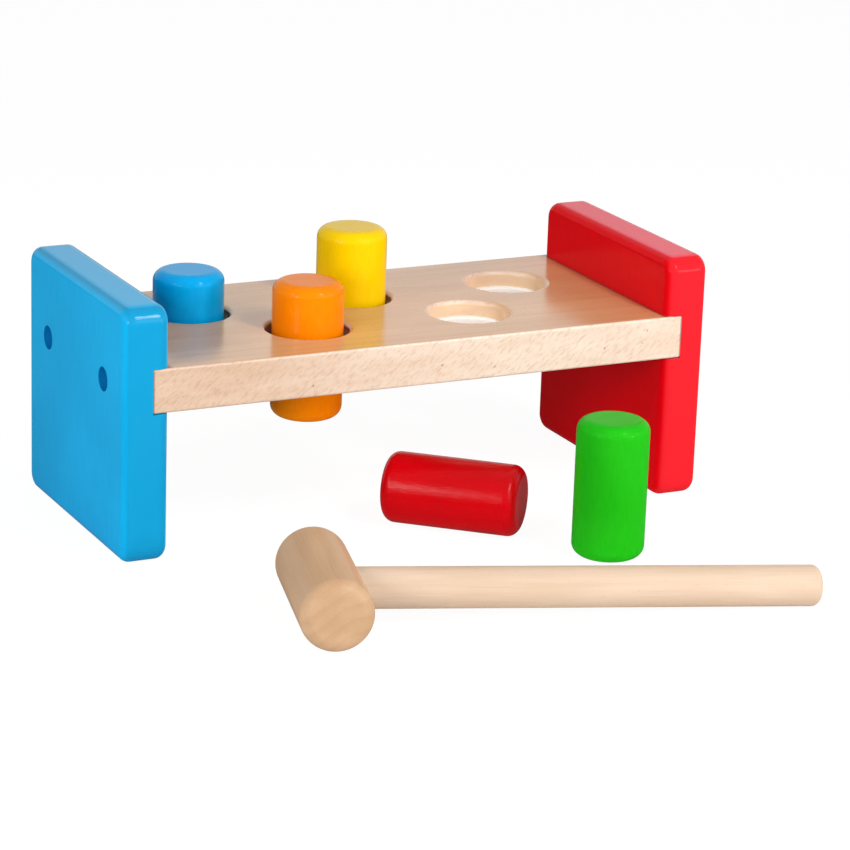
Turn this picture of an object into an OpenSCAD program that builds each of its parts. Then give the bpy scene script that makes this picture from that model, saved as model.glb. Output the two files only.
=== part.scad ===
// Toy pounding bench: a board with staggered holes housed in two end plates,
// round pegs held by soft rings inside the holes, and a wooden mallet.
// X runs along the bench, the front faces -Y, +Z is up. The origin is on the floor,
// under the middle of the box round the whole set.

/* [Board] */
// Clear length between the two end plates
inner_length = 234; // [215:1:280]
// Depth of the bench, front to back
bench_depth = 116; // [104:1:140]
// Height of the board's top face above the floor
board_top = 84; // [80:1:94]
// Thickness of the board
board_thick = 19; // [17:0.5:22]
// Small rounding on the board's long edges
board_edge_r = 1; // [0.5:0.1:2]

/* [End plates] */
// Height of each end plate
plate_height = 110; // [102:1:130]
// Thickness of each end plate
plate_thick = 20; // [17:0.5:24]
// Radius of the plate's corners, seen from the end
plate_corner_r = 7.5; // [5.5:0.5:12]
// Rounding all round the plate's edges
plate_edge_r = 4.5; // [2:0.5:5]
// Depth of the groove that houses the board's end
housing_depth = 7.5; // [5:0.5:9]
// Gap left under the board in its groove
housing_gap = 0.4; // [0.1:0.1:0.8]

/* [Peg holes] */
// Distance from an end plate's inner face to the middle of the nearest hole
end_room = 39.5; // [34:0.5:46]
// Distance between the back row and the front row
row_spacing = 40; // [34:1:46]
// Room all round between a peg and the wall of its hole
hole_room = 2.5; // [1.5:0.1:3.5]
// Rounding of the hole's upper and lower rims
rim_r = 2; // [1:0.1:3]

/* [Grip rings] */
// Height of the ring's section
ring_height = 5; // [4:0.5:7]
// How far the ring is let into the wall of the hole
ring_seat = 2.5; // [1.5:0.1:3.5]
// Rounding of the ring's inner edges
ring_edge_r = 1; // [0.5:0.1:1.2]
// Radial clearance between a ring and its peg
grip_fit = 0.1; // [0.05:0.01:0.1]
// Clearance round the ring in its groove
ring_fit = 0.05; // [0.02:0.01:0.1]

/* [Pegs] */
// Diameter of a peg
peg_d = 31; // [28:0.5:33]
// Length of a peg
peg_length = 60; // [58:1:64]
// Rounding of the peg's ends
peg_end_r = 5; // [3:0.5:7]
// Height of the blue peg above the board
blue_proud = 19; // [0:1:34]
// Height of the orange peg above the board
orange_proud = 21; // [0:1:34]
// Height of the yellow peg above the board
yellow_proud = 32; // [0:1:34]

/* [Screws] */
// Distance between the two screws in an end plate
screw_spacing = 66; // [56:1:80]
// Diameter of the counterbore in the plate's outer face
counterbore_d = 10.5; // [9.5:0.1:12]
// Depth of the counterbore
counterbore_depth = 7; // [5:0.5:8]
// Diameter of the screw's head
screw_head_d = 9; // [8:0.1:9.4]
// Height of the screw's head
screw_head_height = 3; // [2.5:0.1:4]
// Diameter of the screw's shank
screw_d = 5; // [4:0.1:6]
// Length of the screw under its head
screw_length = 30; // [24:1:31]
// Length of the screw's pointed tip
screw_tip = 6; // [4:0.5:8]
// Room left past the tip in its pilot hole
tip_room = 1; // [0.5:0.5:2]
// Width across the flats of the hexagon socket in the head
drive_width = 4; // [3:0.1:5]
// Depth of the hexagon socket
drive_depth = 2; // [1:0.1:2.2]
// Radial clearance of the screw in its holes
screw_fit = 0.1; // [0.05:0.05:0.3]

/* [Mallet] */
// Diameter of the mallet's head
head_d = 30; // [28:0.5:36]
// Length of the mallet's head
head_length = 72; // [60:1:90]
// Rounding of the head's two striking ends
head_end_r = 6; // [2:0.5:8]
// Diameter of the handle
handle_d = 17; // [14:0.5:19]
// Length of the handle from the head's middle to its free end
handle_length = 205; // [170:1:230]
// Rounding of the handle's free end
handle_end_r = 3.5; // [2:0.5:6]
// Rounding of the handle's glued end
glued_end_r = 1; // [0.5:0.5:2]
// How far the handle's socket runs past the head's middle
socket_past = 5; // [2:0.5:7]
// Glue gap round the handle in its socket
glue_gap = 0.05; // [0.02:0.01:0.1]

/* [Layout] */
// Middle of the lying red peg, to the right of the bench's middle
red_x = 14; // [0:1:20]
// Middle of the lying red peg, in front of the bench
red_front = 2.5; // [0:0.5:20]
// Turn of the lying red peg
red_turn = -42; // [-60:1:-30]
// Middle of the standing green peg, to the right of the bench's middle
green_x = 60.5; // [55:0.5:80]
// Middle of the standing green peg, in front of the bench
green_front = 56; // [50:1:62]
// Middle of the mallet's head, to the left of the bench's middle
mallet_left = 86.5; // [80:0.5:100]
// Middle of the mallet's head, in front of the bench
mallet_front = 88.5; // [84:0.5:100]
// Turn of the mallet's handle
mallet_turn = -15; // [-20:1:-8]

/* [Hidden] */
$fn = 96;
// Overrun of every cut past the face it opens
over = 1;
plate_inner_x = inner_length / 2;
board_under = board_top - board_thick;
board_middle = board_top - board_thick / 2;
peg_r = peg_d / 2;
ring_inner_r = peg_r + grip_fit;
hole_r = peg_r + hole_room;
ring_outer_r = hole_r + ring_seat;
head_r = head_d / 2;
handle_r = handle_d / 2;

// Holes are counted from the left: even ones in the back row, odd ones in the front row
hole_count = 5;
hole_step = 2 * (plate_inner_x - end_room) / (hole_count - 1);
function hole_x(i) = (i - (hole_count - 1) / 2) * hole_step;
function hole_y(i) = (i % 2 == 0 ? 1 : -1) * row_spacing / 2;

// The mallet lies with its head and its handle's free end on the floor
mallet_y = -bench_depth / 2 - mallet_front;
mallet_dip = asin((head_r - handle_r) / (handle_length - handle_end_r));

// The frontmost points of the handle's end and of the head's front end
handle_slope = cos(mallet_dip) * sin(mallet_turn);
handle_front = mallet_y + (handle_length - handle_end_r) * handle_slope
    - (handle_r - handle_end_r) * sqrt(1 - pow(handle_slope, 2)) - handle_end_r;
head_front = mallet_y - (head_length / 2 - head_end_r) * cos(mallet_turn)
    - (head_r - head_end_r) * abs(sin(mallet_turn)) - head_end_r;
set_shift = -(min(handle_front, head_front) + bench_depth / 2) / 2;

// Moves the bench's own frame to the middle of the whole set
module in_set() translate([0, set_shift, 0]) children();

// Stands up what was drawn in XY, with its thickness along X
module upright() rotate([90, 0, 90]) children();

// What rounding by r takes off the upper right corner of a shape, where the corner is the origin
module corner_cut(r)
    difference() {
        translate([-r, -r]) square(r + over);
        translate([-r, -r]) circle(r);
    }

// Rectangle with its left edge on the Y axis, and its two right corners rounded
module half_section(w, h, low_r, high_r)
    difference() {
        square([w, h]);
        translate([w, h]) corner_cut(high_r);
        translate([w, 0]) mirror([0, 1]) corner_cut(low_r);
    }

// Slab with rounded corners and with every edge rounded over, centred in XY
module rounded_slab(w, h, thick, corner_r, edge_r) {
    flat = [w - 2 * corner_r, h - 2 * corner_r];
    linear_extrude(thick) square(flat, center = true);
    for (side = [0:3]) {
        run = flat[(side + 1) % 2];
        rotate(90 * side) translate([flat[side % 2] / 2, run / 2, 0]) {
            rotate([90, 0, 0]) linear_extrude(run) half_section(corner_r, thick, edge_r, edge_r);
            rotate_extrude(angle = 90) half_section(corner_r, thick, edge_r, edge_r);
        }
    }
}

// Round bar standing on z = 0, with its lower and upper end rounded
module round_bar(r, length, low_r, high_r)
    rotate_extrude() half_section(r, length, low_r, high_r);

// What a rounded rim takes away around a hole whose mouth is at z = 0
module rim_cut() rotate_extrude() translate([hole_r, 0]) mirror([1, 0]) corner_cut(rim_r);

// A peg's hole through the board, with its two rims and the groove for its ring
module peg_hole() {
    groove_r = ring_outer_r + ring_fit;
    groove_height = ring_height + 2 * ring_fit;
    translate([0, 0, -over]) cylinder(r = hole_r, h = board_thick + 2 * over);
    translate([0, 0, board_thick]) rim_cut();
    mirror([0, 0, 1]) rim_cut();
    translate([0, 0, (board_thick - groove_height) / 2]) cylinder(r = groove_r, h = groove_height);
}

// Places children at the two screws of the right end, each looking in along -X
module at_right_screws(x)
    for (side = [-1, 1])
        translate([x, side * screw_spacing / 2, board_middle]) rotate([0, -90, 0]) children();

// Right end plate, with its outer face to the right
module end_plate() {
    outer_x = plate_inner_x + plate_thick;
    difference() {
        translate([plate_inner_x, 0, plate_height / 2]) upright()
            rounded_slab(bench_depth, plate_height, plate_thick, plate_corner_r, plate_edge_r);
        translate([plate_inner_x - over, -bench_depth / 2 - over, board_under - housing_gap])
            cube([housing_depth + over, bench_depth + 2 * over, board_thick + housing_gap]);
        at_right_screws(outer_x + over) {
            cylinder(d = counterbore_d, h = counterbore_depth + over);
            cylinder(r = screw_d / 2 + screw_fit, h = plate_thick);
        }
    }
}

module end_plate_left() color("DodgerBlue") in_set() mirror([1, 0, 0]) end_plate();

module end_plate_right() color("Crimson") in_set() end_plate();

// Pilot holes in the board's right end
module pilot_holes() {
    depth = screw_length - (plate_thick - counterbore_depth) + housing_depth;
    at_right_screws(plate_inner_x + housing_depth + over)
        cylinder(r = screw_d / 2 + screw_fit, h = over + depth + tip_room);
}

module pounding_board()
    color("BurlyWood") in_set() difference() {
        length = inner_length + 2 * housing_depth;
        translate([-length / 2, 0, board_middle]) upright()
            linear_extrude(length) for (side = [0, 1]) mirror([side, 0])
                translate([0, -board_thick / 2])
                    half_section(bench_depth / 2, board_thick, board_edge_r, board_edge_r);
        for (i = [0:hole_count - 1]) translate([hole_x(i), hole_y(i), board_under]) peg_hole();
        pilot_holes();
        mirror([1, 0, 0]) pilot_holes();
    }

// Soft ring let into the wall of hole i, half way down
module grip_ring(i)
    color("Ivory") in_set() translate([hole_x(i), hole_y(i), board_middle - ring_height / 2])
        rotate_extrude() translate([ring_outer_r, 0]) mirror([1, 0])
            half_section(ring_outer_r - ring_inner_r, ring_height, ring_edge_r, ring_edge_r);

// Screw hanging from the underside of its head at z = 0, pointing along +Z
module screw()
    difference() {
        rotate_extrude() polygon([
            [0, -screw_head_height], [screw_head_d / 2, -screw_head_height],
            [screw_head_d / 2, 0], [screw_d / 2, 0],
            [screw_d / 2, screw_length - screw_tip], [0, screw_length]
        ]);
        translate([0, 0, -screw_head_height - over])
            cylinder(d = drive_width / cos(30), h = drive_depth + over, $fn = 6);
    }

// side_x and side_y are -1 or 1: left or right, front or back
module placed_screw(side_x, side_y)
    color("Silver") in_set()
        translate([
            side_x * (plate_inner_x + plate_thick - counterbore_depth),
            side_y * screw_spacing / 2,
            board_middle
        ])
        rotate([0, -90 * side_x, 0]) screw();

module peg() round_bar(peg_r, peg_length, peg_end_r, peg_end_r);

// Peg in hole i, standing proud of the board
module seated_peg(i, proud)
    in_set() translate([hole_x(i), hole_y(i), board_top + proud - peg_length]) peg();

module peg_blue() color("DeepSkyBlue") seated_peg(0, blue_proud);

module peg_orange() color("Orange") seated_peg(1, orange_proud);

module peg_yellow() color("Gold") seated_peg(2, yellow_proud);

module peg_red()
    color("FireBrick") in_set() translate([red_x, -bench_depth / 2 - red_front, peg_r])
        rotate([0, 90, red_turn]) translate([0, 0, -peg_length / 2]) peg();

module peg_green()
    color("LimeGreen") in_set() translate([green_x, -bench_depth / 2 - green_front, 0]) peg();

// Children are drawn with the handle along +X and the head's middle at the origin
module lying_mallet()
    in_set() translate([-mallet_left, mallet_y, head_r])
        rotate([0, mallet_dip, mallet_turn]) children();

module mallet_head()
    color("BurlyWood") lying_mallet() difference() {
        rotate([90, 0, 0]) translate([0, 0, -head_length / 2])
            round_bar(head_r, head_length, head_end_r, head_end_r);
        translate([-socket_past, 0, 0]) rotate([0, 90, 0])
            cylinder(r = handle_r + glue_gap, h = socket_past + head_r + over);
    }

module mallet_handle()
    color("Wheat") lying_mallet() translate([-socket_past + glue_gap, 0, 0]) rotate([0, 90, 0])
        round_bar(handle_r, socket_past - glue_gap + handle_length, glued_end_r, handle_end_r);

end_plate_left();
end_plate_right();
pounding_board();
grip_ring(0);  // grip_ring_1
grip_ring(1);  // grip_ring_2
grip_ring(2);  // grip_ring_3
grip_ring(3);  // grip_ring_4
grip_ring(4);  // grip_ring_5
placed_screw(-1, -1);  // screw_left_front
placed_screw(-1, 1);  // screw_left_back
placed_screw(1, -1);  // screw_right_front
placed_screw(1, 1);  // screw_right_back
peg_blue();
peg_orange();
peg_yellow();
peg_red();
peg_green();
mallet_head();
mallet_handle();
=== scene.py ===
import math

import bpy
from mathutils import Matrix, Vector


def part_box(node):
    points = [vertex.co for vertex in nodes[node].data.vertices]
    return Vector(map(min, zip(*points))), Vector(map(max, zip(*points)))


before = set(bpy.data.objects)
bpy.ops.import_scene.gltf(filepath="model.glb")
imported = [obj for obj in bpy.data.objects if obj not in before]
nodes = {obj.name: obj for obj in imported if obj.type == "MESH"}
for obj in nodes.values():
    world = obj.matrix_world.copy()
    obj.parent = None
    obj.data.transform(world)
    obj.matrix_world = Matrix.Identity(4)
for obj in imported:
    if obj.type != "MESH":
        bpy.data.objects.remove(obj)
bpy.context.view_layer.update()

mm = 0.001
ringNames = ["grip_ring_%d" % count for count in range(1, 6)]
screwNames = ["screw_%s_%s" % (side, row) for side in ("left", "right") for row in ("front", "back")]


def screenColour(values):  # red, green and blue from 0 to 255 as on a screen, made linear
    shares = [value / 255 for value in values]
    return tuple(s / 12.92 if s <= 0.04045 else ((s + 0.055) / 1.055) ** 2.4 for s in shares) + (1,)


def grey(share):
    return (share, share, share, 1)


class Wire:  # an output socket; sums written with it add Math nodes
    def __init__(self, paint, socket):
        self.paint, self.socket = paint, socket

    def maths(self, operation, *values):
        return self.paint.add("ShaderNodeMath", {"operation": operation}, dict(enumerate(values)))

    def __add__(self, other):
        return self.maths("ADD", self, other)

    def __sub__(self, other):
        return self.maths("SUBTRACT", self, other)

    def __rsub__(self, other):
        return self.maths("SUBTRACT", other, self)

    def __mul__(self, other):
        return self.maths("MULTIPLY", self, other)

    def __truediv__(self, other):
        return self.maths("DIVIDE", self, other)

    def __pow__(self, other):
        return self.maths("POWER", self, other)

    def __abs__(self):
        return self.maths("ABSOLUTE", self)

    __radd__ = __add__


class Paint:  # the nodes of a material or of the world, round its one shader
    def __init__(self, owner, finish, shader="Principled BSDF"):
        owner.use_nodes = True
        self.owner, self.tree = owner, owner.node_tree
        self.shader = self.tree.nodes[shader]
        self.feed(finish)

    def add(self, kind, settings, sockets, output=0):
        node = self.tree.nodes.new(kind)
        for key, value in settings.items():
            setattr(node, key, value)
        for key, value in sockets.items():
            self.join(value, node.inputs[key])
        return Wire(self, node.outputs[output])

    def join(self, value, socket):
        if isinstance(value, Wire):
            self.tree.links.new(value.socket, socket)
        else:
            socket.default_value = value

    def feed(self, values):  # values or wires for the shader's own sockets
        for key, value in values.items():
            self.join(value, self.shader.inputs[key])

    def coordinates(self, kind):  # Object, in metres, or Normal; both in the piece's own axes
        return self.add("ShaderNodeTexCoord", {}, {}, kind)

    def place(self, origin=(0, 0, 0), turn=(0, 0, 0)):
        return self.turned(self.coordinates("Object"), origin, turn)

    def turned(self, vector, origin=(0, 0, 0), turn=(0, 0, 0)):
        return self.add("ShaderNodeMapping", {"vector_type": "TEXTURE"},
                        {"Vector": vector, "Location": origin, "Rotation": turn})

    def axes(self, vector):
        split = self.add("ShaderNodeSeparateXYZ", {}, {"Vector": vector})
        return [Wire(self, socket) for socket in split.socket.node.outputs]

    def noise(self, vector, perMetre, detail=2, roughness=0.5, seed=0):  # perMetre for all axes or for each
        scale = perMetre if isinstance(perMetre, tuple) else (perMetre,) * 3
        drawnOut = self.add("ShaderNodeVectorMath", {"operation": "MULTIPLY"}, {0: vector, 1: scale})
        return self.add("ShaderNodeTexNoise", {"noise_dimensions": "4D"},
                        {"Vector": drawnOut, "W": seed, "Scale": 1, "Detail": detail, "Roughness": roughness})

    def smooth(self, value, low, high):  # 0 below low, 1 above high, eased between
        return self.add("ShaderNodeMapRange", {"interpolation_type": "SMOOTHSTEP"},
                        {"Value": value, "From Min": low, "From Max": high})

    def blend(self, share, first, second, kind="MIX"):  # colours, from first to second
        return self.add("ShaderNodeMix", {"data_type": "RGBA", "blend_type": kind},
                        {0: share, 6: first, 7: second}, 2)

    def tones(self, value, span, first, second):  # screen colours, blended as the value crosses the span
        return self.blend(self.smooth(value, *span), screenColour(first), screenColour(second))

    def bump(self, height, depth, under=None):  # height 0 to 1, depth in metres
        sockets = {"Height": height, "Distance": depth, "Strength": 1.0}
        if under is not None:
            sockets["Normal"] = under
        return self.add("ShaderNodeBump", {}, sockets)

    def rays(self, kind):
        return self.add("ShaderNodeLightPath", {}, {}, kind)

    def shown(self, mirrored):  # 1 to the camera and through glass, the share mirrored in a gloss
        glossy = self.rays("Is Glossy Ray") * mirrored
        direct = glossy.maths("MAXIMUM", self.rays("Is Camera Ray"), self.rays("Is Transmission Ray"))
        return direct.maths("MAXIMUM", direct, glossy)


def dress(paint, slot, *names):
    for name in names:
        slots = nodes[name].data.materials
        slots.clear()
        slots.append(paint.owner)


# Painted wood under a gloss lacquer. In every look, noises are in waves per metre and depths in metres
def lacquer(name, look, origin, turn):
    # Colour: the base drifts to a deeper tone in soft clouds and along faint fibres that run on local X.
    # Relief: the fibres under the film, and over them the slow ripple of a dipped film.
    paint = Paint(bpy.data.materials.new(name), {"IOR": 1.5, "Specular IOR Level": look["specular"]})
    local = paint.place(origin, turn)
    clouds = paint.noise(local, look["clouds"], detail=3)
    fibres = paint.noise(local, look["fibres"], detail=3, roughness=0.6, seed=3)
    film = paint.noise(local, look["ripple"], detail=1, roughness=0.4, seed=7)
    deeper = (paint.smooth(clouds, *look["cloudSpan"]) * look["cloudShare"]
              + paint.smooth(fibres, *look["fibreSpan"]) * look["fibreShare"])
    colour = paint.blend(deeper, screenColour(look["colour"]), screenColour(look["deep"]))
    # On the plates, painted light and shade: tones by the way each face points, and dark bores
    if "edge" in look:
        colour = plateColour(paint, look, local, colour)
    paint.feed({
        "Base Color": colour,
        "Roughness": look["gloss"] + (fibres - 0.5) * look["glossDrift"],
        "Normal": paint.bump(film, look["rippleDepth"], paint.bump(fibres, look["fibreDepth"])),
    })
    return paint


def plateColour(paint, look, local, face):  # painted light and shade: the narrow edges and the top take tones by the way they face, and the bores are painted dark as shade
    facing = [abs(part) for part in paint.axes(paint.coordinates("Normal"))]
    up, across = [abs(part) for part in paint.axes(local)[:2]]
    # Painted shade on the walls of the bores, deep inside the plate's outline
    boreShade = (paint.smooth(look["height"] / 2 - up, *look["boreShadeInset"])
            * paint.smooth(look["depth"] / 2 - across, *look["boreShadeInset"]))
    # Painted light: faces that point up take the lighter top tone
    sides = paint.tones(facing[2], look["topSpan"], look["edge"], look["top"])
    sides = paint.blend(boreShade, sides, screenColour(look["boreShade"]))
    # Faces along local X keep the paint; the others take the painted light and shade tones
    return paint.blend(paint.smooth(facing[0], *look["faceSpan"]), sides, face)


lacquerLook = {"cloudSpan": (0.35, 0.65), "cloudShare": 0.55, "fibreSpan": (0.35, 0.7), "fibreShare": 0.45,
               "glossDrift": 0.12, "rippleDepth": 0.05 * mm}
plateLook = {
    **lacquerLook, "specular": 0.1, "gloss": 0.125, "clouds": 18, "fibres": (60, 700, 700),
    "fibreDepth": 0.008 * mm, "ripple": 160, "height": 110 * mm, "depth": 116 * mm,
    "boreShadeInset": (8 * mm, 12 * mm), "topSpan": (0.9, 0.99), "faceSpan": (0.5, 0.85),
}
# The edge and top tones are painted light and shade of the one paint; the bore tone is painted shade
bluePlate = {**plateLook, "colour": (13, 175, 232), "deep": (8, 163, 219), "edge": (17, 151, 201),
             "top": (30, 176, 231), "boreShade": (6, 122, 190)}
redPlate = {**plateLook, "specular": 0.05, "gloss": 0.19, "colour": (234, 1, 18), "deep": (224, 1, 12),
            "edge": (230, 34, 44), "top": (246, 92, 106), "boreShade": (160, 2, 12)}
upright = (0, -math.pi / 2, 0)  # local X is turned to point up
for node, name, look, slot in (("end_plate_left", "bluePlateLacquer", bluePlate, "blue_lacquer"),
                               ("end_plate_right", "redPlateLacquer", redPlate, "red_lacquer")):
    low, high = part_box(node)
    dress(lacquer(name, look, (low + high) / 2, upright), slot, node)
print("end plates lacquered")

pegLook = {
    **lacquerLook, "specular": 0.07, "gloss": 0.125, "clouds": 40, "fibres": (160, 1300, 1300),
    "fibreDepth": 0.022 * mm, "ripple": 220, "turn": upright,
}
pegLooks = {
    "blue": {"colour": (6, 170, 235), "deep": (3, 158, 223)},
    "orange": {"colour": (252, 140, 1), "deep": (245, 124, 1)},
    "yellow": {"colour": (251, 211, 4), "deep": (243, 196, 3)},
    "red": {"colour": (208, 1, 14), "deep": (194, 1, 9), "specular": 0.11, "gloss": 0.2,
            "fibreDepth": 0.12 * mm, "turn": (0, 0, math.radians(-42))},
    "green": {"colour": (38, 186, 26), "deep": (30, 175, 19), "specular": 0.03, "gloss": 0.2},
}
for colour, ownLook in pegLooks.items():
    node = "peg_" + colour
    look = {**pegLook, **ownLook}
    low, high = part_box(node)
    paint = lacquer(colour + "PegLacquer", look, (low + high) / 2, look["turn"])
    dress(paint, colour + "_peg_lacquer", node)
print("pegs lacquered")


# Bare wood under a clear varnish
def wood(name, look, origin, turn=(0, 0, 0)):
    # Growth rings: the distance from the pith, a line along local X, bent by a slow noise; each ring
    # darkens towards its late wood. Fibres and pores are noises drawn out along X.
    paint = Paint(bpy.data.materials.new(name), {"IOR": 1.5, "Specular IOR Level": look["specular"]})
    local = paint.place(origin, turn)
    x, y, z = paint.axes(local)
    bend = paint.noise(local, look["bends"], seed=2)
    distance = ((y - look["pith"][0]) ** 2 + (z - look["pith"][1]) ** 2) ** 0.5
    turns = (distance + bend * look["bend"]) / look["ring"]
    share = turns.maths("FRACT", turns)
    late = paint.smooth(share, *look["lateRise"]) * (1 - paint.smooth(share, *look["lateFall"]))
    fibres = paint.noise(local, look["fibres"], detail=3, roughness=0.65, seed=5)
    clouds = paint.noise(local, look["clouds"], seed=9)
    pores = paint.smooth(paint.noise(local, look["pores"], detail=1, seed=11), *look["poreSpan"])
    lateColour = screenColour(look["late"])
    colour = paint.tones(clouds, look["cloudSpan"], look["pale"], look["mid"])
    colour = paint.blend(late * look["ringShare"], colour, lateColour)
    colour = paint.blend(paint.smooth(fibres, *look["fibreSpan"]) * look["fibreShare"], colour, lateColour)
    colour = paint.blend(pores * look["poreShare"], colour, screenColour(look["pore"]))
    return paint, local, colour, fibres, fibres - pores * look["poreDepth"]


def varnish(paint, look, colour, fibres, relief, duller=0):
    paint.feed({
        "Base Color": colour,
        "Roughness": look["gloss"] + duller + (fibres - 0.5) * look["glossDrift"],
        "Normal": paint.bump(relief, look["fibreDepth"]),
    })
    return paint


woodLook = {
    "lateRise": (0.25, 0.92), "lateFall": (0.93, 1.0), "fibreSpan": (0.42, 0.75),
    "clouds": (14, 60, 60), "cloudSpan": (0.3, 0.7), "pores": (420, 3200, 3200), "poreSpan": (0.66, 0.74),
    "poreDepth": 0.8, "glossDrift": 0.2,
}
boardLook = {
    **woodLook, "specular": 1.0, "gloss": 0.18, "dullerSides": 0.3, "pith": (0.004, 0.19),
    "bends": (5, 45, 45), "bend": 5 * mm, "ring": 2.6 * mm, "fibres": (30, 1500, 1500),
    "fibreDepth": 0.012 * mm, "ringShare": 0.2, "fibreShare": 0.3, "poreShare": 0.5,
    "pale": (225, 175, 125), "mid": (216, 164, 114), "late": (199, 142, 95), "pore": (162, 108, 68),
}
# The front and back edges show the rays of the wood as short slanting flecks, and a few brown spots;
# towards the left end they are painted darker and redder, as painted shade for light that falls from the
# right
edgeLook = {
    "facingSpan": (0.08, 0.45), "tones": (30, 60, 160), "toneSpan": (0.3, 0.7),
    "pale": (235, 213, 195), "mid": (226, 198, 175),
    "tilt": (0, math.radians(-38), 0), "flecks": (300, 90, 900), "fleckSpan": (0.44, 0.76),
    "fleck": (195, 151, 115), "fleckShare": 0.55,
    "spots": 330, "spotSpan": (0.79, 0.83), "spot": (150, 96, 56), "spotShare": 0.6,
    "leftEndShade": (236, 225, 214), "leftEndShadeSpan": (30 * mm, -100 * mm),
}
# Painted shade: a dark band on the board where it meets the plates, and round its ends in the grooves
jointShadeLook = {"colour": (104, 34, 26), "share": 0.8, "faceSpan": (114.8 * mm, 117 * mm),
            "endSpan": (123.6 * mm, 124.4 * mm)}
# Painted shade: the walls of the first three holes, round the pegs, are painted dark; the other two are bare
holeLook = {"peggedShade": (104, 52, 30), "bare": (236, 202, 162), "share": 0.8,
            "wallSpan": (18.5 * mm, 17.9 * mm), "pegged": ("grip_ring_1", "grip_ring_2", "grip_ring_3")}
boardLow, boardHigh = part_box("pounding_board")
boardMiddle = (boardLow + boardHigh) / 2
paint, local, colour, fibres, relief = wood("boardBeech", boardLook, boardMiddle)
x, y, z = paint.axes(local)
sideways = paint.smooth(abs(paint.axes(paint.coordinates("Normal"))[1]), *edgeLook["facingSpan"])
slanted = paint.turned(local, turn=edgeLook["tilt"])
fleck = paint.smooth(paint.noise(slanted, edgeLook["flecks"], detail=3, roughness=0.6, seed=13),
                     *edgeLook["fleckSpan"])
spots = paint.smooth(paint.noise(local, edgeLook["spots"], detail=0, seed=21), *edgeLook["spotSpan"])
edge = paint.tones(paint.noise(local, edgeLook["tones"], detail=3, roughness=0.6, seed=17),
                   edgeLook["toneSpan"], edgeLook["pale"], edgeLook["mid"])
edge = paint.blend(fleck * edgeLook["fleckShare"], edge, screenColour(edgeLook["fleck"]))
edge = paint.blend(spots * edgeLook["spotShare"], edge, screenColour(edgeLook["spot"]))
# Painted shade: darker and redder towards the left end
edge = paint.blend(paint.smooth(x, *edgeLook["leftEndShadeSpan"]), edge,
                   paint.blend(1.0, edge, screenColour(edgeLook["leftEndShade"]), "MULTIPLY"))
# Painted shade in the joints with the plates
faceJointShade = paint.smooth(abs(x), *jointShadeLook["faceSpan"]) * (1 - sideways)
endJointShade = paint.smooth(abs(x), *jointShadeLook["endSpan"])
jointShade = faceJointShade.maths("MAXIMUM", faceJointShade, endJointShade) * jointShadeLook["share"]
colour = paint.blend(jointShade, paint.blend(sideways, colour, edge), screenColour(jointShadeLook["colour"]))
for ring in ringNames:
    low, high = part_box(ring)
    middle = (low + high) / 2 - boardMiddle
    reach = ((x - middle[0]) ** 2 + (y - middle[1]) ** 2) ** 0.5
    # The pegged holes' walls take painted shade, the others their bare tone
    wallToneAndShade = holeLook["peggedShade" if ring in holeLook["pegged"] else "bare"]
    within = paint.smooth(reach, *holeLook["wallSpan"])
    colour = paint.blend(within * holeLook["share"], colour, screenColour(wallToneAndShade))
varnish(paint, boardLook, colour, fibres, relief - fleck * sideways, sideways * boardLook["dullerSides"])
dress(paint, "board_wood", "pounding_board")
print("board varnished")

malletLook = {
    **woodLook, "specular": 0.15, "gloss": 0.4, "bends": (8, 45, 45), "fibres": (40, 1500, 1500),
    "fibreDepth": 0.02 * mm, "fibreShare": 0.24, "poreShare": 0.25,
}
headLook = {
    **malletLook, "pith": (-0.018, -0.031), "ring": 5.4 * mm, "bend": 9 * mm, "ringShare": 0.16,
    "pale": (207, 171, 135), "mid": (196, 158, 122), "late": (176, 133, 95), "pore": (156, 110, 74),
}
handleLook = {
    **malletLook, "pith": (0.05, 0.02), "ring": 7 * mm, "bend": 4 * mm, "ringShare": 0.12,
    "pale": (219, 194, 171), "mid": (210, 183, 157), "late": (191, 153, 118), "pore": (172, 129, 94),
}
malletTurn = math.radians(-15)
handleDip = math.radians(2)
for node, name, look, slot, turn in (
        ("mallet_head", "malletHeadMaple", headLook, "mallet_head_wood", (0, 0, malletTurn + math.pi / 2)),
        ("mallet_handle", "malletHandleMaple", handleLook, "mallet_handle_wood", (0, handleDip, malletTurn))):
    low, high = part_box(node)
    paint, local, colour, fibres, relief = wood(name, look, (low + high) / 2, turn)
    dress(varnish(paint, look, colour, fibres, relief), slot, node)
print("mallet varnished")


# Rubber or brushed steel: two tones and a fine relief from one noise
def speckled(name, look, finish):
    paint = Paint(bpy.data.materials.new(name), finish)
    speckle = paint.noise(paint.place(), look["speckle"], detail=3, roughness=0.6)
    paint.feed({
        "Base Color": paint.tones(speckle, look["span"], look["colour"], look["deep"]),
        "Roughness": look["gloss"] + (speckle - 0.5) * look["glossDrift"],
        "Normal": paint.bump(speckle, look["relief"]),
    })
    return paint


# White rubber: a faint glow is painted light that keeps the rings white down in the holes
ringLook = {"colour": (255, 254, 249), "deep": (249, 247, 240), "gloss": 0.5, "glossDrift": 0.2,
            "speckle": 900, "span": (0.3, 0.7), "relief": 0.01 * mm, "glow": 0.09}
dress(speckled("ringRubber", ringLook, {
    "IOR": 1.45, "Specular IOR Level": 0.4, "Emission Color": grey(1), "Emission Strength": ringLook["glow"],
}), "ring_rubber", *ringNames)
screwLook = {"colour": (196, 198, 200), "deep": (150, 152, 156), "gloss": 0.3, "glossDrift": 0.25,
             "speckle": (325, 2600, 2600), "span": (0.3, 0.7), "relief": 0.01 * mm}
dress(speckled("screwSteel", screwLook, {"Metallic": 1.0}), "screw_steel", *screwNames)
print("rings and screws finished")

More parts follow.
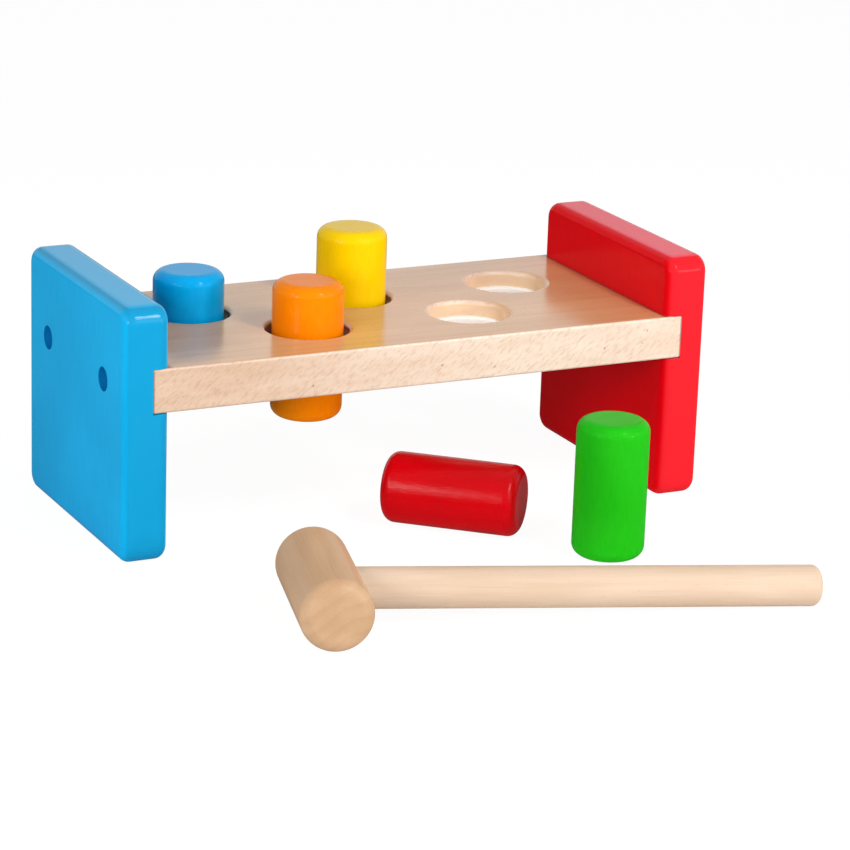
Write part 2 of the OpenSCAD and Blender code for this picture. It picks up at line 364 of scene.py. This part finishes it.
# White paper floor: its glow keeps it white to the camera, over the object's soft shadow
floorLook = {"reach": 12.0, "drop": 0.1 * mm, "paper": 0.12, "bounce": 0.95, "glow": 0.94, "mirrored": 0.1,
             "roughness": 0.9}
floorMesh = bpy.data.meshes.new("floor")
floorMesh.from_pydata([(x * floorLook["reach"], y * floorLook["reach"], -floorLook["drop"])
                       for x, y in ((-1, -1), (1, -1), (1, 1), (-1, 1))], [], [(0, 1, 2, 3)])
floor = bpy.data.objects.new("floor", floorMesh)
bpy.context.scene.collection.objects.link(floor)
paint = Paint(bpy.data.materials.new("floorPaper"),
              {"Roughness": floorLook["roughness"], "Specular IOR Level": 0.0, "Emission Color": grey(1)})
paint.feed({
    "Base Color": paint.blend(paint.rays("Is Diffuse Ray"), grey(floorLook["paper"]),
                              grey(floorLook["bounce"])),
    "Emission Strength": paint.shown(floorLook["mirrored"]) * floorLook["glow"],
})
floorMesh.materials.append(paint.owner)

# Dim light from all round, behind it a white backdrop that the camera and a gloss see
worldLook = {"light": 0.32, "backdrop": 1.0, "mirrored": 1.0}
bpy.context.scene.world = bpy.data.worlds.new("studio")
paint = Paint(bpy.context.scene.world, {"Color": grey(1)}, "Background")
paint.feed({"Strength": paint.shown(worldLook["mirrored"]) * worldLook["backdrop"]
            + (1 - paint.shown(1.0)) * worldLook["light"]})

# Azimuth and elevation in degrees as seen from the target, distance and sizes in metres, watts
target = Vector((0.0, 0.04, 0.05))
lamps = {
    "leftSoft": {"azimuth": -62, "elevation": 16, "distance": 0.8, "size": (0.2, 0.18), "power": 1.93},
    "frontSoft": {"azimuth": 14, "elevation": 24, "distance": 0.9, "size": (0.4, 0.3), "power": 1.12},
    "rightSoft": {"azimuth": 53, "elevation": 22, "distance": 0.9, "size": (0.18, 0.2), "power": 0.76},
    "leftGlint": {"azimuth": -78, "elevation": 28, "distance": 0.9, "size": (0.04, 0.07), "power": 0.9},
    "rightGlint": {"azimuth": 20, "elevation": 44, "distance": 0.91, "size": (0.08, 0.26), "power": 3.1},
    "lowGlint": {"azimuth": 33, "elevation": 12, "distance": 0.95, "size": (0.07, 0.07), "power": 1.7},
}
for name, lamp in lamps.items():
    light = bpy.data.lights.new(name, "AREA")
    light.shape = "RECTANGLE"
    light.size, light.size_y = lamp["size"]
    light.energy = lamp["power"]
    azimuth, elevation = math.radians(lamp["azimuth"]), math.radians(lamp["elevation"])
    back = Vector((math.sin(azimuth) * math.cos(elevation), -math.cos(azimuth) * math.cos(elevation),
                   math.sin(elevation)))
    holder = bpy.data.objects.new(name, light)
    holder.location = target + back * lamp["distance"]
    holder.rotation_euler = back.to_track_quat("Z", "Y").to_euler()
    bpy.context.scene.collection.objects.link(holder)

# The fitted view: angles in radians, place in metres, focal length in pixels of an 850 pixel frame, and
# the sensor's width in millimetres
shot = {"azimuth": 0.464975, "elevation": 0.303014, "roll": -0.034611,
        "place": (-0.614244, -1.20804, 0.475473), "focal": 3362.75, "frame": 850, "sensor": 36}
azimuth, elevation, roll = shot["azimuth"], shot["elevation"], shot["roll"]
forward = Vector((math.sin(azimuth) * math.cos(elevation), math.cos(azimuth) * math.cos(elevation),
                  -math.sin(elevation)))
level = forward.cross(Vector((0, 0, 1))).normalized()
down = forward.cross(level)
right = level * math.cos(roll) + down * math.sin(roll)
up = level * math.sin(roll) - down * math.cos(roll)
lens = bpy.data.cameras.new("camera")
lens.sensor_width = shot["sensor"]
lens.lens = shot["focal"] * shot["sensor"] / shot["frame"]
camera = bpy.data.objects.new("camera", lens)
camera.matrix_world = Matrix.Translation(shot["place"]) @ Matrix((right, up, -forward)).transposed().to_4x4()
bpy.context.scene.collection.objects.link(camera)
bpy.context.scene.camera = camera
bpy.context.scene.view_settings.view_transform = "Standard"
print("floor, world, lamps and camera set")
